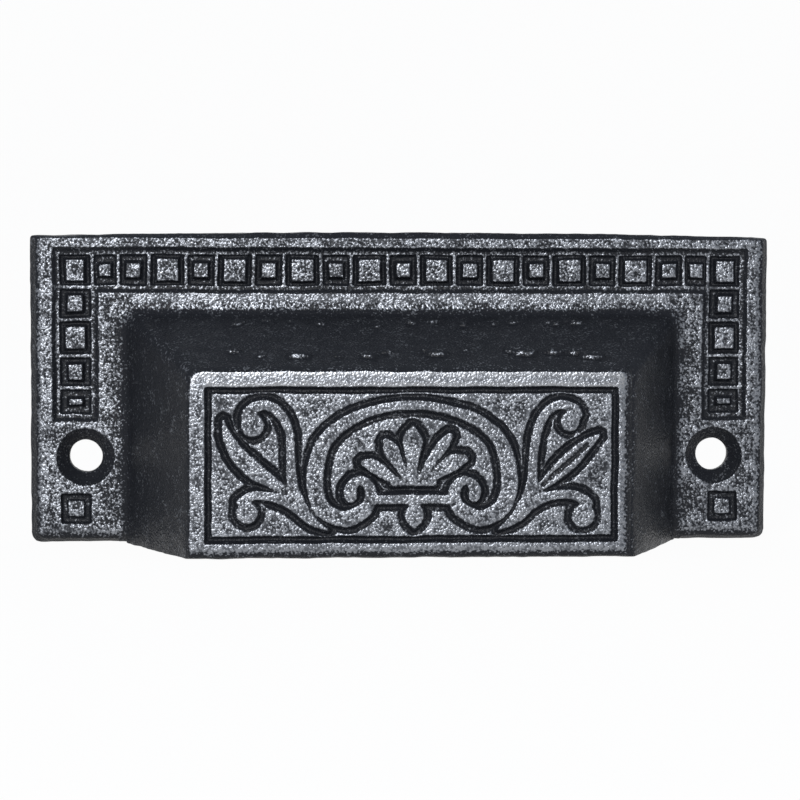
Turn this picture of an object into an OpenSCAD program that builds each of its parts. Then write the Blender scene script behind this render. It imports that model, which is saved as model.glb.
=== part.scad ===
// Cup pull of the Victorian kind: one casting with a flat back plate, a band of
// square pads round three sides, and a sloping hood with a scroll relief on its face.
// X runs along the plate, Y from the front to the back, and Z up.
// The origin is midway between the two screw holes, on the back of the plate.

/* [Plate] */
// Width of the plate
plate_w = 105.6; // [104:0.2:130]
// Height of the plate in the middle
plate_h = 44.2; // [43:0.1:60]
// Drop of the upper edge from the middle to the ends
plate_bow = 0.6; // [0:0.1:1]
// Thickness of the plate at its rims
plate_t = 3; // [2.6:0.1:6]
// Bevel round the front edge of the plate
plate_bevel = 0.9; // [0.3:0.1:1.4]
// Radius of the plate's lower corners
plate_corner = 1.4; // [0.6:0.1:3]

/* [Screw holes] */
// Distance between the hole centres
hole_span = 90; // [89:0.5:94]
// Height of the hole centres above the lower edge
hole_rise = 12.3; // [11.5:0.1:18]
// Diameter of the holes
hole_d = 4.6; // [3.4:0.1:5.6]
// Diameter of the countersinks at the front
sink_d = 8.2; // [6.6:0.1:9]

/* [Pad band] */
// Width of the rim beside the band
rim_side = 3.2; // [2.4:0.1:3.8]
// Width of the rim above the band
rim_top = 1.6; // [1.2:0.1:2.2]
// Width of the sunk band
band_w = 6.5; // [6:0.1:7.2]
// Depth of the band below the rims
band_depth = 0.5; // [0.3:0.05:0.7]
// Depth of the moat round each pad below the floor of the band
moat_depth = 0.45; // [0.3:0.05:0.8]
// Width of the ridges left between the moats
ridge_w = 0.45; // [0.3:0.05:0.6]
// Length of a cell with a large pad
large_cell = 5.25; // [4.8:0.05:6.5]
// Length of a cell with a small pad
small_cell = 4.3; // [3.8:0.05:5]
// Side of a large pad
large_pad = 3.1; // [2.4:0.1:3.4]
// Side of a small pad
small_pad = 2; // [1.4:0.1:2.4]
// Height of the single pads above the lower edge
single_rise = 4.9; // [3.4:0.1:5]

/* [Hood] */
// Width of the hood where it meets the plate
foot_w = 78.6; // [70:0.2:80]
// Height of the hood where it meets the plate
foot_h = 32.7; // [29:0.1:34]
// Width of the face
face_w = 60.2; // [50:0.2:70]
// Height of the face
face_h = 25.5; // [20:0.1:30]
// Distance from the back of the plate to the face
projection = 22; // [16:0.5:32]
// Thickness of the hood's walls
wall_t = 2.6; // [2:0.1:4]
// Thickness of the face
face_t = 3; // [2.4:0.1:5]
// Radius of the hollow sweep between plate and hood
cove_r = 1.2; // [0.5:0.1:2]
// Size of the soft edge round the face
face_edge = 0.8; // [0.4:0.1:1.2]

/* [Face relief] */
// Width of the frame round the panel
frame_w = 2; // [1.6:0.1:3]
// Width of the groove inside the frame
groove_w = 0.95; // [0.9:0.05:1.3]
// Depth of the groove
groove_depth = 0.95; // [0.8:0.05:1.4]

/* [Hidden] */

// The slope of the band's sides, and how far a cutter or a raised shape overlaps
band_run = 0.6;
moat_run = 0.3;
pad_drop = 0.08;
over = 0.4;

// The band between its two slopes, and the single row of cells in it
band_floor = plate_t - band_depth;
cell_w = band_w - 2 * band_run - ridge_w;
moat_w = cell_w - ridge_w;
column_x = plate_w / 2 - rim_side - band_w / 2;
row_z = plate_h - plate_bow - rim_top - band_w / 2;
band_end = hole_rise + sink_d / 2 + 0.9;

// Cells along the top run: a short one at each end, then small and large ones by turns
top_run = 2 * column_x - cell_w;
end_cell = 3.6;
large_count = 2 * round((top_run - 2 * end_cell - small_cell) / (large_cell + small_cell) / 2);
plain_run = 2 * end_cell + large_count * large_cell + (large_count + 1) * small_cell;
top_fit = top_run / plain_run;
top_cells = concat(
    [end_cell],
    [for (i = [0 : 2 * large_count]) i % 2 == 0 ? small_cell : large_cell],
    [end_cell]) * top_fit;
top_pads = concat(
    [0.85 * small_pad],
    [for (i = [0 : 2 * large_count]) i % 2 == 0 ? small_pad : large_pad],
    [0.95 * small_pad]);

// The moat round the single pad under each hole
single_moat = 2.15 * small_pad;
single_depth = moat_depth + 0.15;

// Cells down each side, from the corner to the end of the band
side_run = row_z - cell_w / 2 - band_end - band_run - ridge_w / 2;
side_cells = [0.25, 0.283, 0.25, 0.217] * side_run;
side_pads = [1.05 * small_pad, 0.9 * large_pad, small_pad, 0.95 * small_pad];

// Slopes of the hood's walls, and the room that a wall takes across the slope
hood_d = projection - plate_t;
side_slope = (foot_w - face_w) / 2 / hood_d;
top_slope = (foot_h - face_h) / hood_d;
side_room = wall_t * sqrt(1 + side_slope * side_slope);
top_room = wall_t * sqrt(1 + top_slope * top_slope);

// The opening of the frame, and the foot of the panel that stands in it
panel_w = face_w - 2 * frame_w;
panel_low = frame_w + 0.25;
panel_high = face_h - frame_w;
foot_in = 0.25;

// Heights in the relief, from its buried underside up
buried = 0.2;
valley = 0.3;
ground = 0.75;
shoulder = 0.97;
crown = 1.1;

// The drawing of the relief, on a sheet of squares with its middle at [0, 0].
// Each knot of a stroke is [across, up, half width], with a few steps from knot to knot.
scroll_steps = 4;
sheet_w = 41.2;
sheet_h = 15.2;
sheet_slope = 0.52;
// Extra widths beside a mark: the foot of its slope, and the floor and the mouth of its valley
ridge_foot = 0.36;
valley_floor = 0.42;
valley_mouth = 0.78;
// The slopes waver as carved ones do, by this share of their width from facet to facet
carve_wave = 0.1;
half_scroll = [
    [-3.2, 5.6, 0.46], [-6.3, 4.5, 0.58], [-8.7, 2.5, 0.72], [-9.65, 0, 0.84],
    [-9.75, -2.3, 0.84], [-9, -4.35, 0.84], [-6.8, -5.4, 0.84], [-4.8, -4.5, 0.74]];
scroll = concat(
    [for (i = [len(half_scroll) - 1 : -1 : 0]) half_scroll[i]],
    [[0, 5.95, 0.46]],
    [for (k = half_scroll) mirrored(k)]);
scroll_arm = [[-4.6, -4.3, 0.66], [-4.15, -3.1, 0.62], [-4.5, -2, 0.54], [-5.3, -1.5, 0.44]];
scroll_eye = [[-5.9, -1.75, 0.5], [-6.3, -2.5, 0.64], [-6.2, -3.15, 0.62]];
centre_lobe = [
    [0, -1.7, 0.35], [0, -0.3, 0.5], [0, 1.2, 0.78], [0.05, 2.5, 1.05], [0.1, 3.3, 0.7],
    [0.12, 3.75, 0.25]];
left_upper_lobe = [[-0.7, -1.3, 0.3], [-1.5, 0.3, 0.55], [-2.2, 1.6, 0.78], [-2.65, 2.35, 0.35]];
left_lower_lobe = [[-1.3, -1.75, 0.3], [-2.6, -1, 0.55], [-3.9, -0.1, 0.68], [-4.9, 0.2, 0.35]];
right_upper_lobe = [[0.9, -1.2, 0.3], [1.9, 0.4, 0.5], [3, 1.9, 0.6], [3.75, 2.9, 0.35]];
right_lower_lobe = [[1.3, -1.7, 0.3], [2.6, -0.75, 0.6], [4.1, 0.25, 0.82], [5.2, 0.6, 0.45]];
palmette_foot = [[-1.9, -1.8, 0.32], [2.1, -1.8, 0.32]];
tie_bar = [[-4, -3.45, 0.45], [4, -3.45, 0.45]];
bud = [[0.2, -4.2, 0.6], [0.2, -4.9, 1], [0.2, -5.7, 0.75], [0.2, -6.3, 0.15]];
left_stem = [
    [-8.5, -6.5, 0.1], [-10.2, -5.4, 0.5], [-11.5, -3.8, 0.75], [-12.1, -1.5, 0.55],
    [-12.2, 1.3, 0.45], [-12.4, 3.5, 0.45], [-13.3, 5.2, 0.5], [-14.8, 6, 0.5],
    [-16.2, 5.5, 0.55], [-16.7, 4.7, 0.5]];
left_leaf = [
    [-18.85, 4.4, 0.15], [-18.5, 2.8, 0.5], [-17.4, 1, 0.8], [-15.9, -0.5, 0.85],
    [-14.2, -1.6, 0.62], [-12.7, -2.5, 0.35]];
left_curl = [
    [-11.6, -4.1, 0.7], [-12.9, -3.5, 0.55], [-14.4, -3.1, 0.46], [-16, -3, 0.46],
    [-17.1, -3.7, 0.5]];
right_stem = [
    [8.7, -6.5, 0.1], [10.2, -5.5, 0.5], [11.4, -4.1, 0.75], [12, -2, 0.55],
    [12.2, 0.5, 0.45], [12.5, 3, 0.45], [13.3, 5, 0.45], [14.7, 6, 0.45],
    [16.1, 5.7, 0.5], [16.6, 5, 0.5]];
right_leaf = [
    [18.8, 2.9, 0.15], [17.5, 1.9, 0.6], [16, 0.5, 0.85], [14.5, -0.9, 0.72],
    [12.8, -2.4, 0.35]];
right_curl = [
    [11.2, -4.3, 0.7], [12.8, -3.5, 0.55], [14.6, -3, 0.46], [16.5, -3.1, 0.5],
    [17.8, -3.9, 0.5]];
// Round bosses are [across, up, radius]
bosses = [
    [-16, 4, 1.15], [-16.6, -4.75, 1.1], [15.85, 4.3, 0.98], [17.25, -5.15, 1.15]];
leaf_vein = [[17.6, 1.9, 0.05], [16.05, 0.5, 0.05], [14.4, -0.9, 0.05], [13.2, -2, 0.05]];
// All marks of the drawing as outlines, from the lowest to the highest
paired = [scroll_arm, scroll_eye];
marks = concat(
    [for (k = concat(
        [palmette_foot, left_leaf, right_leaf],
        paired,
        [for (k = paired) [for (p = k) mirrored(p)]],
        [left_lower_lobe, right_lower_lobe, left_upper_lobe, right_upper_lobe, centre_lobe],
        [left_curl, right_curl, left_stem, right_stem, bud, tie_bar, scroll])) outline(k)],
    [for (b = bosses) [for (a = [0 : 18 : 342]) [b[0] + b[2] * cos(a), b[1] + b[2] * sin(a)]]]);
// Each mark stands a hair higher than the one before, as carved work does
carve_lift = 0.005;
function floor_of(i) = valley + carve_lift * i;

// A rectangle, and one whose upper corners, or all corners, are round
function rect(x0, x1, z0, z1) = [[x0, z0], [x1, z0], [x1, z1], [x0, z1]];
function grow(r, g) = rect(r[0][0] - g, r[1][0] + g, r[0][1] - g, r[2][1] + g);
function arc(x, z, r, from) = [for (a = [0 : 30 : 90]) [x + r * cos(from + a), z + r * sin(from + a)]];
function arch(half, z0, z1, r) = concat(
    [[-half, z0], [half, z0]],
    arc(half - r, z1 - r, r, 0),
    arc(r - half, z1 - r, r, 90));

// The plate's outline: round corners below, small ones above, and an upper edge that drops by bow
function plate_loop(half, z0, z1, bow) =
    let (r = plate_corner, s = plate_corner / 3, run = half - s)
    concat(
        arc(r - half, z0 + r, r, 180),
        arc(half - r, z0 + r, r, 270),
        arc(run, z1 - bow - s, s, 0),
        [for (i = [-3 : 3]) [-run * i / 4, z1 - bow * i * i / 16]],
        arc(-run, z1 - bow - s, s, 90));

function mirrored(k) = [-k[0], k[1], k[2]];

// Where item i of a list starts, when the items follow one another
function start_of(list, i) = i == 0 ? 0 : list[i - 1] + start_of(list, i - 1);

// A smooth curve through knots
function blend(a, b, c, d, t) = 0.5 * (2 * b + (c - a) * t
    + (2 * a - 5 * b + 4 * c - d) * t * t + (3 * b - a - 3 * c + d) * t * t * t);
function curve(k, n) = concat(
    [for (i = [0 : len(k) - 2], j = [0 : n - 1])
        blend(k[max(i - 1, 0)], k[i], k[i + 1], k[min(i + 2, len(k) - 1)], j / n)],
    [k[len(k) - 1]]);
function along(c, i) =
    let (a = c[max(i - 1, 0)], b = c[min(i + 1, len(c) - 1)], d = [b[0] - a[0], b[1] - a[1]])
    d / norm(d);

// The point beside a place on the curve, turned by an angle from its way on
function beside(c, i, angle) =
    let (t = along(c, i))
    [c[i][0], c[i][1]] + c[i][2] * (cos(angle) * t + sin(angle) * [-t[1], t[0]]);

// The closed outline of a stroke, with a round nose at each end
function outline(k) =
    let (c = curve(k, len(k) == 2 ? 1 : scroll_steps), last = len(c) - 1)
    concat(
        [for (i = [0 : last]) beside(c, i, -90)],
        [for (a = [-60 : 30 : 60]) beside(c, last, a)],
        [for (i = [last : -1 : 0]) beside(c, i, 90)],
        [for (a = [120 : 30 : 240]) beside(c, 0, a)]);

// A closed outline let out by g, with every second corner a little farther out
function out_of(a, b) = let (d = (b - a) / norm(b - a)) [d[1], -d[0]];
function spread(loop, g) =
    let (n = len(loop))
    [for (i = [0 : n - 1])
        let (u = out_of(loop[(i + n - 1) % n], loop[i]), v = out_of(loop[i], loop[(i + 1) % n]))
        loop[i] + g * (1 + carve_wave * (i % 2)) * (u + v) / (1 + u * v)];

// The faces of a solid whose rings of n points follow one another
function skin(rings, n) = concat(
    [[for (i = [0 : n - 1]) i]],
    [[for (i = [n - 1 : -1 : 0]) (rings - 1) * n + i]],
    [for (k = [0 : rings - 2], i = [0 : n - 1], tri = [[0, 1, 2], [0, 2, 3]])
        let (q = [k * n + i, (k + 1) * n + i, (k + 1) * n + (i + 1) % n, k * n + (i + 1) % n])
        [for (t = tri) q[t]]]);

// A solid through loops, each at its distance from the back of the plate
module loft(levels) {
    polyhedron(
        points = [for (v = levels, p = v[1]) [p[0], -v[0], p[1]]],
        faces = skin(len(levels), len(levels[0][1])),
        convexity = 4);
}

// A sunk field with sloping sides, whose mouth lies at a level
module sunk(mouth, level, depth, run) {
    loft([[level - depth, grow(mouth, -run)], [level + depth, grow(mouth, run)]]);
}

// A raised pad on a floor, up to a level
module pad(x, z, w, h, floor_d, top_d) {
    top = rect(x - w / 2, x + w / 2, z - h / 2, z + h / 2);
    loft([[floor_d - over, grow(top, 0.45)], [top_d, top]]);
}

// One mark of the drawing with sloping sides, through levels of [height, extra width]
module mark(loop, levels) {
    loft([for (v = levels) [v[0], spread(loop, v[1])]]);
}

// The valley round a mark, and the mark that stands in it
module valley_of(i) {
    mark(marks[i], [[floor_of(i), valley_floor], [ground, valley_mouth], [crown, 1.3 * valley_mouth]]);
}
module ridge_of(i) {
    mark(marks[i], [[buried / 2, valley_floor], [floor_of(i), ridge_foot], [shoulder + carve_lift * i, 0]]);
}

// The panel with a valley cut round every mark and the marks standing in them
module relief() {
    sheet = rect(-sheet_w / 2, sheet_w / 2, -sheet_h / 2, sheet_h / 2);
    translate([0, buried + groove_depth - projection, (panel_low + panel_high) / 2])
        resize([panel_w - 2 * foot_in, 0, panel_high - panel_low - 2 * foot_in]) {
            difference() {
                loft([[0, sheet], [ground, grow(sheet, -sheet_slope)]]);
                for (i = [0 : len(marks) - 1]) valley_of(i);
            }
            difference() {
                for (i = [0 : len(marks) - 1]) ridge_of(i);
                mark(outline(leaf_vein), [[ground, 0], [crown, ridge_foot]]);
            }
        }
}

// The plate with its sunk band, its pads and the countersunk holes
module plate() {
    difference() {
        loft([
            [0, plate_loop(plate_w / 2, 0, plate_h, plate_bow)],
            [plate_t - plate_bevel, plate_loop(plate_w / 2, 0, plate_h, plate_bow)],
            [plate_t, plate_loop(plate_w / 2 - plate_bevel, 0.6 * plate_bevel,
                plate_h - plate_bow - 0.3 * plate_bevel, 0)]]);
        band();
        for (c = cells())
            sunk(rect(c[0] - c[2] / 2, c[0] + c[2] / 2, c[1] - c[3] / 2, c[1] + c[3] / 2),
                band_floor, moat_depth, moat_run);
        for (side = [-1, 1])
            sunk(grow(rect(side * column_x, side * column_x, single_rise, single_rise), single_moat / 2),
                plate_t, single_depth, moat_run);
    }
    for (c = cells())
        pad(c[0], c[1], c[4], c[5], band_floor - moat_depth, plate_t - pad_drop);
    for (side = [-1, 1])
        pad(side * column_x, single_rise, 1.1 * small_pad, 1.1 * small_pad,
            plate_t - single_depth, plate_t - 3 * pad_drop);
}

// The band runs up both sides and across the top
module band() {
    for (side = [-1, 1])
        sunk(rect(side * column_x - band_w / 2, side * column_x + band_w / 2,
            band_end, row_z + band_w / 2), plate_t, band_depth, band_run);
    sunk(rect(-column_x - band_w / 2, column_x + band_w / 2, row_z - band_w / 2, row_z + band_w / 2),
        plate_t, band_depth, band_run);
}

// Every cell as [x, z, width, height, pad width, pad height]
function cells() = concat(
    [for (side = [-1, 1]) [side * column_x, row_z, moat_w, moat_w, 0.84 * large_pad, large_pad]],
    [for (i = [0 : len(top_cells) - 1])
        [start_of(top_cells, i) + top_cells[i] / 2 - top_run / 2, row_z,
            top_cells[i] - ridge_w, moat_w, top_pads[i], 1.02 * top_pads[i]]],
    [for (side = [-1, 1], i = [0 : len(side_cells) - 1])
        [side * column_x, row_z - cell_w / 2 - start_of(side_cells, i) - side_cells[i] / 2,
            moat_w, side_cells[i] - ridge_w, side_pads[i],
            i == 3 ? 0.45 * side_pads[i] : 1.1 * side_pads[i]]]);

// Outside of the hood at a distance from the back of the plate, let out by g
function hood_loop(d, g, z0, r) = arch(
    foot_w / 2 - side_slope * (d - plate_t) + g,
    z0,
    foot_h - top_slope * (d - plate_t) + g,
    r);

module hood() {
    front = projection;
    loft(concat(
        [[plate_t - over, hood_loop(plate_t, cove_r, 0, 1.6)]],
        [for (a = [0 : 30 : 90])
            let (d = plate_t + cove_r * (1 - cos(a)))
            [d, hood_loop(d, cove_r * (1 - sin(a)), 0, 1.6)]],
        [[front - face_edge, hood_loop(front - face_edge, 0.45 * face_edge, 0, 1.9)],
            [front - 0.3 * face_edge, hood_loop(front - 0.3 * face_edge, 0.25 * face_edge, 0.1, 1.9)],
            [front, hood_loop(front, 0, 0.3, 1.8)]]));
}

// The hollow for the fingers, open at the back and below
module hollow() {
    loft([for (d = [-1, projection - face_t])
        [d, arch(foot_w / 2 - side_slope * (d - plate_t) - side_room, -1,
            foot_h - top_slope * (d - plate_t) - top_room, 2)]]);
}

module screw_holes() {
    cone_h = (sink_d - hole_d) / 2;
    for (side = [-1, 1])
        translate([side * hole_span / 2, 1, hole_rise])
            rotate([90, 0, 0]) {
                cylinder(h = plate_t + 2, d = hole_d, $fn = 64);
                translate([0, 0, 1 + plate_t - cone_h])
                    cylinder(h = cone_h + 1, r1 = hole_d / 2, r2 = sink_d / 2 + 1, $fn = 64);
            }
}

module cup_pull() {
    color([0.07, 0.07, 0.08])
        translate([0, 0, -hole_rise]) {
            difference() {
                union() {
                    plate();
                    difference() {
                        hood();
                        sunk(rect(-panel_w / 2, panel_w / 2, panel_low, panel_high),
                            projection, groove_depth, 0.5);
                    }
                    relief();
                }
                hollow();
                screw_holes();
            }
        }
}

cup_pull();
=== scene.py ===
# %% [markdown]
# # A black cast iron cup pull
# A cup pull is screwed to a drawer front, and the fingers reach up behind its face.
# This one is a single sand casting with a thin coat of black paint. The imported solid
# already has every form of it, so this lesson is about what casting and paint do to
# those forms: soft edges, uneven faces, a pebbled skin and a dull shine.

import math

import bpy
import numpy as np
from mathutils import Matrix, Vector


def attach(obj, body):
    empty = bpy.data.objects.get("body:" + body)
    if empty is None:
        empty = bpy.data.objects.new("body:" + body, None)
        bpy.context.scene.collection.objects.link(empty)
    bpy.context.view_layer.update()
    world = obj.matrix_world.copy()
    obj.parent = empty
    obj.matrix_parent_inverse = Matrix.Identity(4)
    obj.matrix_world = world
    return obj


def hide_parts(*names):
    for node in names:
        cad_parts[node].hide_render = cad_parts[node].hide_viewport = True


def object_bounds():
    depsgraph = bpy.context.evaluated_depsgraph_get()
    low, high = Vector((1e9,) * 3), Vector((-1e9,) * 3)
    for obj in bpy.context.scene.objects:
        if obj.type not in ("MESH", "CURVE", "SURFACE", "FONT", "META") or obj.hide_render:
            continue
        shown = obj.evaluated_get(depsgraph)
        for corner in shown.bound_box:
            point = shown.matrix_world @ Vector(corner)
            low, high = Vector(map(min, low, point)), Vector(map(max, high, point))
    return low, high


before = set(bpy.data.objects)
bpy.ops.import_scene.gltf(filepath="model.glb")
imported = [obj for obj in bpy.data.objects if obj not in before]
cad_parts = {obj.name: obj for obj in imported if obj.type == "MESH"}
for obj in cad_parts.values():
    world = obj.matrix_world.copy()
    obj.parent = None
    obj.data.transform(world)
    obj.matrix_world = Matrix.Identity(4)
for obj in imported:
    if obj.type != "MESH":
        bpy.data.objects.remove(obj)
cad_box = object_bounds()
print("solid, lowest and highest corner in metres:", [list(corner) for corner in cad_box])

# %% [markdown]
# ## The camera
# The photograph looks at the pull almost straight on, from a little above and from the
# left. Its two long edges run almost parallel, so the camera is far away for so small a
# thing and has a long lens. The place and the three turns were found by matching the
# corners of the plate and of the face, so they are written down as numbers.

# %% Place the camera
millimetre = 0.001
camera_place = Vector((-26.1, -360, 34.3)) * millimetre
camera_pan = math.radians(4.12)
camera_tilt = math.radians(-4.2)
camera_roll = math.radians(0.21)

bpy.ops.object.camera_add(location=camera_place)
camera = bpy.context.object
camera.name = "photo_camera"
camera.data.sensor_width = 36
camera.data.lens = 113.2
camera.data.clip_start = 0.01
turn = Matrix.Rotation(-camera_pan, 3, "Z")
turn = turn @ Matrix.Rotation(math.pi / 2 + camera_tilt, 3, "X")
turn = turn @ Matrix.Rotation(camera_roll, 3, "Z")
camera.rotation_euler = turn.to_euler()
bpy.context.scene.camera = camera
print("camera at", [round(v, 4) for v in camera.location])

# %% [markdown]
# ## Helpers for nodes
# A material is a small graph. Two short helpers keep the later cells readable: one adds
# a node and fills in its sockets, and the other joins an output to an input.


# %% Define the node helpers
def add_node(tree, kind, inputs=None, **settings):
    node = tree.nodes.new(kind)
    for name, value in settings.items():
        setattr(node, name, value)
    for name, value in (inputs or {}).items():
        node.inputs[name].default_value = value
    return node


def join(tree, source, output, target, socket):
    tree.links.new(source.outputs[output], target.inputs[socket])


print("node helpers are ready")

# %% [markdown]
# ## The floor and the backdrop
# The photograph has nothing but white round the object. A pale floor that bends up into
# a low wall gives that without an edge in view. The sheet is one plane: its far edge is
# extruded upwards and the bend is beveled. For rays from the camera and for mirror rays
# the sheet is mostly plain white, and a part of its shading stays, so the pull keeps a
# faint shadow under it.

# %% Model the sheet
floor_level = cad_box[0].z
# The sheet reaches this far to the front and to both sides, in metres
sheet_half = 1.6
wall_place = 0.9
wall_height = 0.42

bpy.ops.object.select_all(action="DESELECT")
bpy.ops.mesh.primitive_plane_add(size=2, location=(0, 0, 0))
backdrop = bpy.context.object
backdrop.name = "backdrop"
for vertex in backdrop.data.vertices:
    vertex.co.x *= sheet_half
    vertex.co.y = wall_place if vertex.co.y > 0 else -sheet_half
    vertex.co.z = floor_level
bpy.ops.object.mode_set(mode="EDIT")
bpy.ops.mesh.select_all(action="DESELECT")
bpy.ops.mesh.select_mode(type="EDGE")
bpy.ops.object.mode_set(mode="OBJECT")
for edge in backdrop.data.edges:
    ends = [backdrop.data.vertices[i].co.y for i in edge.vertices]
    edge.select = min(ends) > 0
bpy.ops.object.mode_set(mode="EDIT")
bpy.ops.mesh.extrude_region_move(TRANSFORM_OT_translate={"value": (0, 0, wall_height)})
bpy.ops.object.mode_set(mode="OBJECT")
bend = backdrop.modifiers.new("bend", "BEVEL")
bend.width = 0.25
bend.segments = 12
bend.limit_method = "ANGLE"
bpy.ops.object.modifier_apply(modifier=bend.name)
bpy.ops.object.shade_smooth()
print("backdrop has", len(backdrop.data.polygons), "faces")

# %% Paint the sheet white
white_share = 0.95
paper = bpy.data.materials.new("white_paper")
paper.use_nodes = True
tree = paper.node_tree
tree.nodes.clear()
path = add_node(tree, "ShaderNodeLightPath")
seen = add_node(tree, "ShaderNodeMath", operation="MAXIMUM")
mirrored = add_node(tree, "ShaderNodeMath", operation="MAXIMUM")
share = add_node(tree, "ShaderNodeMath", {1: white_share}, operation="MULTIPLY")
shaded = add_node(tree, "ShaderNodeBsdfDiffuse", {"Color": (0.86, 0.86, 0.86, 1)})
white = add_node(tree, "ShaderNodeEmission", {"Color": (1, 1, 1, 1), "Strength": 1})
both = add_node(tree, "ShaderNodeMixShader")
paper_out = add_node(tree, "ShaderNodeOutputMaterial")
join(tree, path, "Is Camera Ray", seen, 0)
join(tree, path, "Is Glossy Ray", seen, 1)
join(tree, seen, 0, mirrored, 0)
join(tree, path, "Is Transmission Ray", mirrored, 1)
join(tree, mirrored, 0, share, 0)
join(tree, share, 0, both, "Fac")
join(tree, shaded, 0, both, 1)
join(tree, white, 0, both, 2)
join(tree, both, 0, paper_out, "Surface")
backdrop.data.materials.append(paper)
print("paper material has", len(tree.nodes), "nodes")

# %% [markdown]
# ## The light
# The faces that look at the camera shine grey, and every slope is nearly black. That
# tells where the light is: one broad soft panel close to the camera's own line of sight,
# a little above it and to the left. The room round it is dim, and shows in the slopes.


# %% Hang the soft panel
def aim(thing, target):
    look = Vector(target) - thing.location
    thing.rotation_euler = look.to_track_quat("-Z", "Y").to_euler()


panel_place = (-0.17, -0.82, 0.33)
panel_target = (0, 0, 0.01)
bpy.ops.object.light_add(type="AREA", location=panel_place)
panel = bpy.context.object
panel.name = "soft_panel"
panel.data.shape = "RECTANGLE"
panel.data.size = 0.39
panel.data.size_y = 0.62
panel.data.energy = 6.8
panel.visible_camera = False
aim(panel, panel_target)
print("soft panel", panel.data.energy, "W")

# %% Dim the room
world = bpy.data.worlds.new("dim_room")
world.use_nodes = True
room = world.node_tree.nodes["Background"]
room.inputs["Color"].default_value = (0.86, 0.94, 1.06, 1)
room.inputs["Strength"].default_value = 0.5
bpy.context.scene.world = world
bpy.context.scene.view_settings.view_transform = "Standard"
print("room level", room.inputs["Strength"].default_value)

# %% [markdown]
# ## The casting
# Molten iron fills a mould of packed sand, so no edge comes out sharp and no face quite
# flat. Beveling every edge of a carved relief by hand would never end. Here a copy of
# the solid is turned into one even skin of small squares, which is then smoothed: all
# edges go soft by the same small radius, as they do in sand.

# %% Copy the solid and merge its triangles
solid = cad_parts["cup_pull"]
casting = bpy.data.objects.new("casting", solid.data.copy())
casting.data.materials.clear()
bpy.context.collection.objects.link(casting)
bpy.ops.object.select_all(action="DESELECT")
casting.select_set(True)
bpy.context.view_layer.objects.active = casting
bpy.ops.object.mode_set(mode="EDIT")
bpy.ops.mesh.select_all(action="SELECT")
bpy.ops.mesh.remove_doubles(threshold=0.001 * millimetre)
bpy.ops.object.mode_set(mode="OBJECT")
print("solid copy has", len(casting.data.vertices), "corners")


# %% Turn it into an even skin
def apply_modifier(piece, kind, **settings):
    modifier = piece.modifiers.new(kind.lower(), kind)
    for name, value in settings.items():
        setattr(modifier, name, value)
    bpy.ops.object.modifier_apply(modifier=modifier.name)


skin_square = 0.13 * millimetre
apply_modifier(casting, "REMESH", mode="VOXEL", voxel_size=skin_square, use_smooth_shade=True)
print("skin has", len(casting.data.polygons), "squares")

# %% [markdown]
# Grains that break out of the mould leave small warts on the casting. The upper slope of
# the hood has two loose rows of them. Each wart is a dome: points within its radius rise
# square to the slope, most of all in the middle. The warts lie a little longer along the
# pull than across it.


# %% Raise the warts on the upper slope
def read_points(piece):
    flat = np.empty(3 * len(piece.data.vertices))
    piece.data.vertices.foreach_get("co", flat)
    return flat.reshape(-1, 3)


def write_points(piece, points):
    piece.data.vertices.foreach_set("co", points.ravel())
    piece.data.update()


# The slope runs from the plate down to the face
slope_top = np.array([0, -3.0, 20.4]) * millimetre
slope_low = np.array([0, -22.0, 13.2]) * millimetre
down = slope_low - slope_top
slope_out = np.array([0, down[2], -down[1]]) / np.hypot(down[1], down[2])
chance = np.random.default_rng(7)
points = read_points(casting)
# Each row has its share of the way down, then the step and the usual size in millimetres
wart_rows = ((0.19, 2.3, 0.46), (0.72, 3.7, 0.9))
row_start, row_end = -25, 27
wart_squeeze = (0.55, 1, 1)
wart_rise = 0.75
down_jitter, along_jitter = 0.06, 0.7
smallest, largest = 0.5, 1.3
warts = 0
for share, step, size in wart_rows:
    for x in np.arange(row_start, row_end, step):
        middle = slope_top + (share + chance.uniform(-down_jitter, down_jitter)) * down
        middle[0] = (x + chance.uniform(-along_jitter, along_jitter) * step) * millimetre
        radius = size * chance.uniform(smallest, largest) * millimetre
        reach = np.linalg.norm((points - middle) * wart_squeeze, axis=1) / radius
        near = reach < 1
        rise = wart_rise * radius * np.sqrt(1 - reach[near] ** 2)
        points[near] += slope_out * rise[:, None]
        warts += 1
print(warts, "warts raised")

# %% [markdown]
# In the photograph the front darkens just before it ends: at both ends of the plate, along
# its foot, and at the right and lower edges of the face. Here that is read as edges that
# fall away, since the outer edges of a sand mould crumble easily. How far they fall is a
# guess that was set by the tones. Each point in reach of an edge goes back, and the nearer
# it is, the farther it goes. The move fades out towards the back, so no step is left beside
# the edge. Then the whole skin is smoothed.


# %% Let the outer edges fall away
def fall_away(points, to_edge, reach, drop, front, behind):
    near = np.clip(1 - to_edge / reach, 0, 1)
    in_front = np.clip((points[:, 1] - behind) / (front - behind), 0, 1)
    points[:, 1] += drop * near ** 2 * in_front


low_corner, high_corner = (np.array(corner) for corner in cad_box)
face_half = 30.1 * millimetre
hood_start = -3.5 * millimetre
out_of_reach = 1
from_foot = points[:, 2] - low_corner[2]
plate_edge = np.minimum(high_corner[0] - abs(points[:, 0]), from_foot)
plate_edge[points[:, 1] < hood_start] = out_of_reach
face_edge = np.minimum(face_half - points[:, 0], from_foot)
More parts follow.
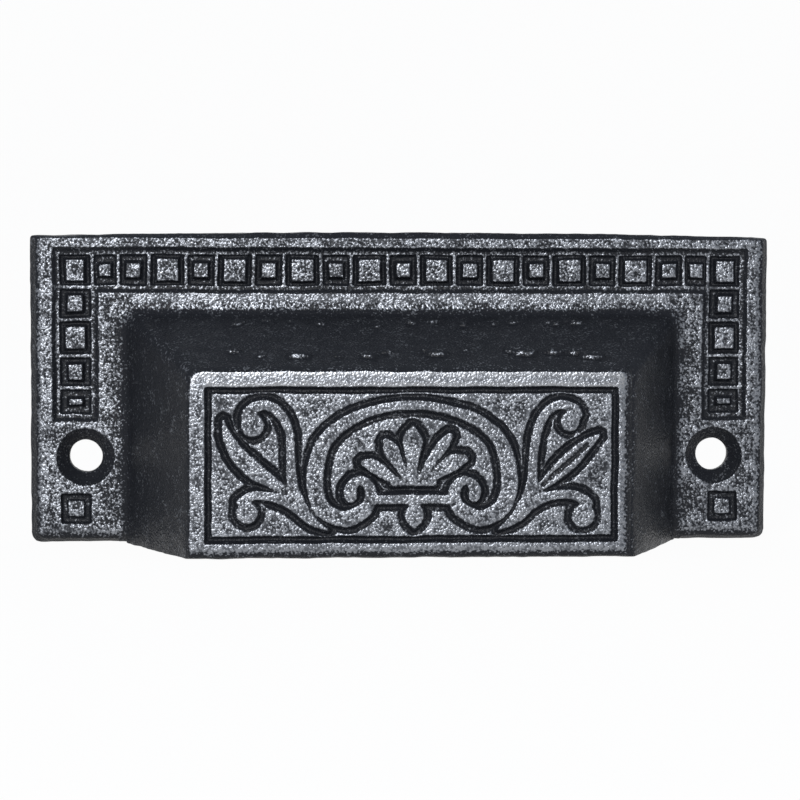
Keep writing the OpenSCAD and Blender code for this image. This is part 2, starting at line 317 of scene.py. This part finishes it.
# Reach and drop, then where the move is full and where it has faded out, in millimetres
plate_fall = (2.1, 1.2, -3, -0.5)
face_fall = (1.8, 0.95, -22, -17)
for to_edge, fall in ((plate_edge, plate_fall), (face_edge, face_fall)):
    fall_away(points, to_edge, *(length * millimetre for length in fall))
write_points(casting, points)
apply_modifier(casting, "SMOOTH", factor=0.5, iterations=3)
beside = plate_edge < plate_fall[0] * millimetre
print("points beside an outer edge of the plate:", int(beside.sum()))

# %% [markdown]
# Sand also shifts a little when it is rammed, so the lines of a casting wander and its
# faces wave. Cloud textures push the skin sideways by a tenth of a millimetre or so, and
# inwards by a little less.

# %% Let the lines wander and the faces wave
waves = bpy.data.textures.new("sand_waves", "CLOUDS")
waves.noise_scale = 3.5 * millimetre
waves.noise_depth = 2
shifts = bpy.data.textures.new("sand_shifts", "CLOUDS")
shifts.noise_scale = 4 * millimetre
wander = 0.3 * millimetre
wave_depth = 0.08 * millimetre
for direction in ("X", "Z"):
    apply_modifier(casting, "DISPLACE", texture=shifts, texture_coords="LOCAL",
                   direction=direction, mid_level=0.5, strength=wander)
apply_modifier(casting, "DISPLACE", texture=waves, texture_coords="LOCAL",
               mid_level=1, strength=wave_depth)
print("waves up to", wave_depth / millimetre, "mm deep")

# %% [markdown]
# ## Where the black stays dark and where it shines
# Black paint collects in every hollow of the relief and stays dull there, and the hollows
# are given painted shade as well. The faces that stand forward are partly worn, and they
# are given a painted sheen of grey iron too. A computer can tell the two apart: it smooths
# a copy of the skin until the relief is gone, and looks how far each point lies under the
# copy. What lies under it is a hollow.


# %% Measure the hollows
def read_normals(piece):
    flat = np.empty(3 * len(piece.data.vertices), dtype=np.float32)
    piece.data.vertex_normals.foreach_get("vector", flat)
    return flat.reshape(-1, 3).astype(float)


plain = bpy.data.objects.new("plain_copy", casting.data.copy())
bpy.context.collection.objects.link(plain)
bpy.context.view_layer.objects.active = plain
apply_modifier(plain, "SMOOTH", factor=0.5, iterations=60)
points = read_points(casting)
normals = read_normals(casting)
hollow_depth = np.einsum("ij,ij->i", read_points(plain) - points, normals)
bpy.data.objects.remove(plain)
bpy.context.view_layer.objects.active = casting
print("deepest hollow", round(hollow_depth.max() / millimetre, 3), "mm")

# %% [markdown]
# Smoothing has also filled the narrow bottoms of the carved lines a little. The depth
# that was just measured puts them back: each point in a hollow goes down by a share of
# its depth, so the lines are cut crisp again while the high edges stay soft.

# %% Cut the hollows crisp again
deepen = 0.5
most_deep = 0.25 * millimetre
cut = deepen * np.clip(hollow_depth, 0, most_deep)
write_points(casting, points - normals * cut[:, None])
print("lines cut deeper by up to", round(cut.max() / millimetre, 3), "mm")

# %% [markdown]
# Wear and painted light are kept on the skin as one value that the material reads: 0 in a
# hollow, which is painted shade; about 1 on a flat face that stands forward, and more on
# its raised edges, which is partly wear and partly painted sheen. In the photograph the
# upper border of the face is brightest, then the ledge of the plate above the hood, and
# the rest of the plate is darker. Three factors follow those tones as painted light, although
# one picture can't tell wear from light: a painted highlight on the upper border and on the
# ledge, and painted shade on the rest of the plate.

# %% Keep wear and painted light as one value on the skin
full_hollow = 0.13 * millimetre
flat_value, most_value = 0.97, 1.2
turned_away, turned_forward = 0.78, 0.96
least_forward = 0.2
# Faces turned towards the lamp get more of the value: this part is painted sheen
facing = (-normals[:, 1] - turned_away) / (turned_forward - turned_away)
forward = np.clip(facing, least_forward, 1)
# A hollow gets none of the value: painted shade
wear_and_painted_light = forward * np.clip(flat_value - hollow_depth / full_hollow, 0, most_value)
x, y, z = points.T / millimetre
on_plate = y > -4
ledge = on_plate & (abs(x) < 38.5) & (z < 23)
upper_border = (y < -21) & (z > 11.3)
# Painted light: a painted highlight on the upper border and the ledge, painted shade on the
# rest of the plate
for part, painted_light_factor in ((on_plate & ~ledge, 0.88), (ledge, 1.18), (upper_border, 1.3)):
    wear_and_painted_light[part] *= painted_light_factor
# The value carries wear, painted sheen and painted shade together
mark = casting.data.attributes.new("wear_and_painted_light", "FLOAT", "POINT")
mark.data.foreach_set("value", wear_and_painted_light.astype(np.float32))
print("mean wear_and_painted_light_level of the skin", round(float(wear_and_painted_light.mean()), 2))

# %% [markdown]
# The skin now has far more squares than its flat faces need. Thinning keeps the points
# where the skin bends. Afterwards every point is held inside the size of the solid.

# %% Thin the skin where it is flat
most_triangles = 190000
ratio = most_triangles / (2 * len(casting.data.polygons))
apply_modifier(casting, "DECIMATE", ratio=min(1, ratio))
bpy.ops.object.shade_smooth()
write_points(casting, np.clip(read_points(casting), low_corner, high_corner))
print("casting has", len(casting.data.polygons), "faces and keeps",
      [layer.name for layer in casting.data.attributes])

# %% [markdown]
# ## The pebbled skin
# The skin of a sand casting repeats the grains of the mould. They are about a third of a
# millimetre wide and catch the light one by one, which is why the flat faces look like
# grey sparkle and not like a mirror. The group below makes that relief from three sizes
# of noise, and a mask of the grain tops.

# %% Build the group for the grain
dome_share = 0.5
wave_share = 1.2
patch_share = 0.6
mean_height = 1.43
grain = bpy.data.node_groups.new("cast_grain", "ShaderNodeTree")
for name, start in (("Grain per metre", 2900.0), ("Waves per metre", 480.0)):
    socket = grain.interface.new_socket(name, in_out="INPUT", socket_type="NodeSocketFloat")
    socket.default_value = start
for name in ("Height", "Tops"):
    grain.interface.new_socket(name, in_out="OUTPUT", socket_type="NodeSocketFloat")
inside = add_node(grain, "NodeGroupInput")
outside = add_node(grain, "NodeGroupOutput")
place = add_node(grain, "ShaderNodeTexCoord")
fine = add_node(grain, "ShaderNodeTexNoise", {"Detail": 1, "Roughness": 0.5})
pebbles = add_node(grain, "ShaderNodeTexVoronoi", feature="F1")
broad = add_node(grain, "ShaderNodeTexNoise", {"Detail": 2})
join(grain, place, "Object", fine, "Vector")
join(grain, place, "Object", pebbles, "Vector")
join(grain, place, "Object", broad, "Vector")
join(grain, inside, "Grain per metre", fine, "Scale")
join(grain, inside, "Grain per metre", pebbles, "Scale")
join(grain, inside, "Waves per metre", broad, "Scale")
dome = add_node(grain, "ShaderNodeMath", {0: 1.0}, operation="SUBTRACT")
join(grain, pebbles, "Distance", dome, 1)
grains = add_node(grain, "ShaderNodeMath", {1: dome_share}, operation="MULTIPLY_ADD")
join(grain, dome, 0, grains, 0)
join(grain, fine, "Fac", grains, 2)
height = add_node(grain, "ShaderNodeMath", {1: wave_share}, operation="MULTIPLY_ADD")
join(grain, broad, "Fac", height, 0)
join(grain, grains, 0, height, 2)
centred = add_node(grain, "ShaderNodeMath", {1: mean_height}, operation="SUBTRACT")
join(grain, height, 0, centred, 0)
join(grain, centred, 0, outside, "Height")
patchy = add_node(grain, "ShaderNodeMath", {1: patch_share}, operation="MULTIPLY_ADD")
join(grain, broad, "Fac", patchy, 0)
join(grain, grains, 0, patchy, 2)
tops = add_node(grain, "ShaderNodeMapRange", {"From Min": 0.91, "From Max": 1.33})
join(grain, patchy, 0, tops, "Value")
join(grain, tops, "Result", outside, "Tops")
print("grain group has", len(grain.nodes), "nodes")

# %% [markdown]
# ## The black finish
# The paint is a dark blue-black with a dull gloss. Where the value on the skin is high, the
# grain tops show some of the iron, so there the finish is partly metal and a little brighter:
# partly wear, partly painted sheen. Where the value is highest, a lighter grey is mixed in as
# a painted highlight. The grain goes into a Bump node, so each grain tilts the surface and
# its shine. Where the value is highest, the grain is also made lower.

# %% Mix the finish
paint_colour = (0.011, 0.012, 0.015, 1)
# Grey that is partly bare iron and partly painted sheen
iron_and_sheen_colour = (0.24, 0.252, 0.275, 1)
# A lighter grey that is a painted highlight on the brightest edges
painted_highlight_colour = (0.36, 0.365, 0.375, 1)
# A Mix node has sockets for every type of value, and these are the ones for colours
first, second, mixed = 6, 7, 2
finish = bpy.data.materials.new("black_with_wear_and_painted_sheen")
finish.use_nodes = True
tree = finish.node_tree
shader = tree.nodes["Principled BSDF"]
shader.inputs["IOR"].default_value = 1.5
shader.inputs["Specular IOR Level"].default_value = 0.12
skin = add_node(tree, "ShaderNodeGroup", node_tree=grain)
wear_and_light_value = add_node(tree, "ShaderNodeAttribute", attribute_name="wear_and_painted_light")
sum_up = add_node(tree, "ShaderNodeMath", operation="ADD")
# Share of the grey: partly wear on the grain tops, partly painted sheen, and none in the
# painted shade of the hollows
iron_and_sheen_share = add_node(tree, "ShaderNodeMapRange", {"From Min": 0.95, "From Max": 1.65})
join(tree, skin, "Tops", sum_up, 0)
join(tree, wear_and_light_value, "Fac", sum_up, 1)
join(tree, sum_up, 0, iron_and_sheen_share, "Value")
# Painted highlight where the value is highest
painted_highlight_share = add_node(tree, "ShaderNodeMapRange", {"From Min": 1.3, "From Max": 1.8})
join(tree, wear_and_light_value, "Fac", painted_highlight_share, "Value")
iron_and_sheen_mix = add_node(tree, "ShaderNodeMix", data_type="RGBA")
iron_and_sheen_mix.inputs[first].default_value = iron_and_sheen_colour
iron_and_sheen_mix.inputs[second].default_value = painted_highlight_colour
join(tree, painted_highlight_share, "Result", iron_and_sheen_mix, 0)
colour = add_node(tree, "ShaderNodeMix", data_type="RGBA")
colour.inputs[first].default_value = paint_colour
join(tree, iron_and_sheen_share, "Result", colour, 0)
join(tree, iron_and_sheen_mix, mixed, colour, second)
join(tree, colour, mixed, shader, "Base Color")
join(tree, iron_and_sheen_share, "Result", shader, "Metallic")
gloss = add_node(tree, "ShaderNodeMapRange", {"To Min": 0.34, "To Max": 0.29})
join(tree, iron_and_sheen_share, "Result", gloss, "Value")
join(tree, gloss, "Result", shader, "Roughness")
bump = add_node(tree, "ShaderNodeBump", {"Strength": 1.0, "Distance": 0.11 * millimetre})
calm = add_node(tree, "ShaderNodeMapRange",
                {"From Min": 1.1, "From Max": 1.5, "To Min": 1.0, "To Max": 0.6})
relief = add_node(tree, "ShaderNodeMath", operation="MULTIPLY")
join(tree, wear_and_light_value, "Fac", calm, "Value")
join(tree, skin, "Height", relief, 0)
join(tree, calm, "Result", relief, 1)
join(tree, relief, 0, bump, "Height")
join(tree, bump, "Normal", shader, "Normal")
casting.data.materials.append(finish)
print("finish has", len(tree.nodes), "nodes")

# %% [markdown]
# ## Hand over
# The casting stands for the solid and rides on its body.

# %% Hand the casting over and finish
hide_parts("cup_pull")
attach(casting, "root")
